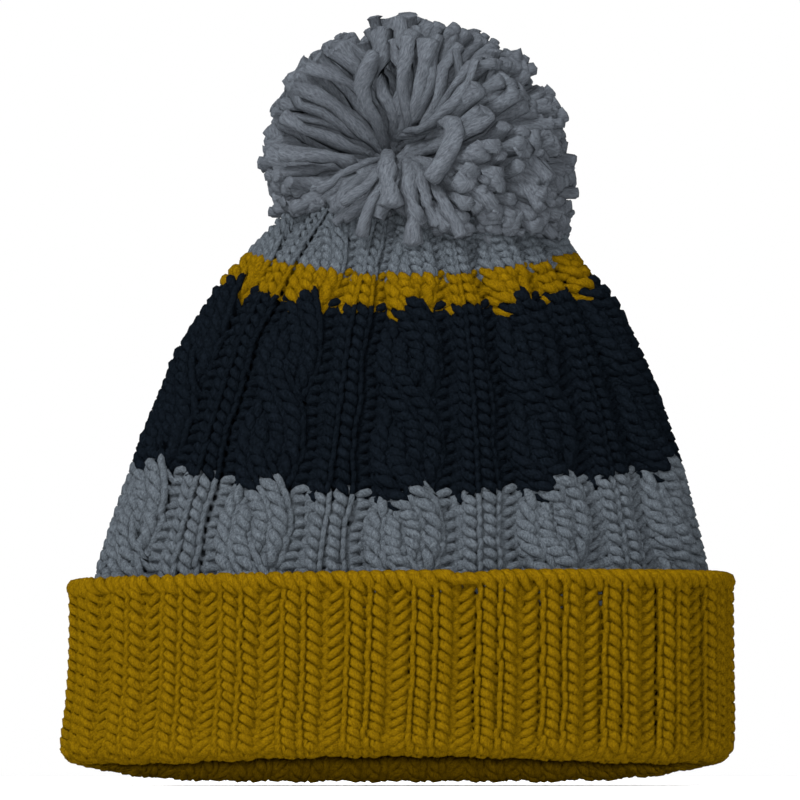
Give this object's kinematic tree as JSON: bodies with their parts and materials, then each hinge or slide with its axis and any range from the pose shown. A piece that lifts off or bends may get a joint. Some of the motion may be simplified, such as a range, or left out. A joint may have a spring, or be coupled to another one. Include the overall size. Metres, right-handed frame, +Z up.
{
  "type": "pom pom beanie",
  "caption": "Chunky cable-knit beanie with a turned-up ribbed cuff, colour-banded body and a yarn pompom tied to the crown.",
  "frame": {"origin": "middle of the oval on which the cuff's fold stands", "axes": "+Z up through the crown and the pompom, X along the wide side of the hat, -Y to the front"},
  "size_m": [0.2418, 0.1638, 0.275],
  "materials": {
    "mustard_yarn": "chunky knit, matt and slightly fuzzy",
    "grey_yarn": "chunky knit, matt and slightly fuzzy",
    "dark_navy_yarn": "chunky knit, matt and slightly fuzzy",
    "pompom_yarn": "soft cut strands of thick yarn"
  },
  "bodies": {
    "hat": {"cuff": "mustard_yarn", "lower_band": "grey_yarn", "dark_band": "dark_navy_yarn", "accent_stripe": "mustard_yarn", "crown": "grey_yarn", "gather_thread": "grey_yarn"},
    "knot": {"anchor_knot": "pompom_yarn"},
    "neck": {"tie_tails": "pompom_yarn"},
    "pompom": {"pompom_upper_strands": "pompom_yarn", "pompom_lower_strands": "pompom_yarn", "binding_loop": "pompom_yarn"}
  },
  "joints": [
    {"name": "pompom_twist", "type": "hinge", "parent": "hat", "child": "knot", "pos_m": [0, 0, 0.21], "axis": [0, 0, 1], "range_deg": [-60, 60], "stiffness_Nm_per_rad": 0.005},
    {"name": "pompom_nod", "type": "hinge", "parent": "knot", "child": "neck", "pos_m": [0, 0, 0.21], "axis": [1, 0, 0], "range_deg": [-15, 15], "stiffness_Nm_per_rad": 0.06, "deforming": ["pompom_lower_strands"]},
    {"name": "pompom_sway", "type": "hinge", "parent": "neck", "child": "pompom", "pos_m": [0, 0, 0.21], "axis": [0, 1, 0], "range_deg": [-15, 15], "stiffness_Nm_per_rad": 0.06, "deforming": ["pompom_lower_strands"]}
  ]
}
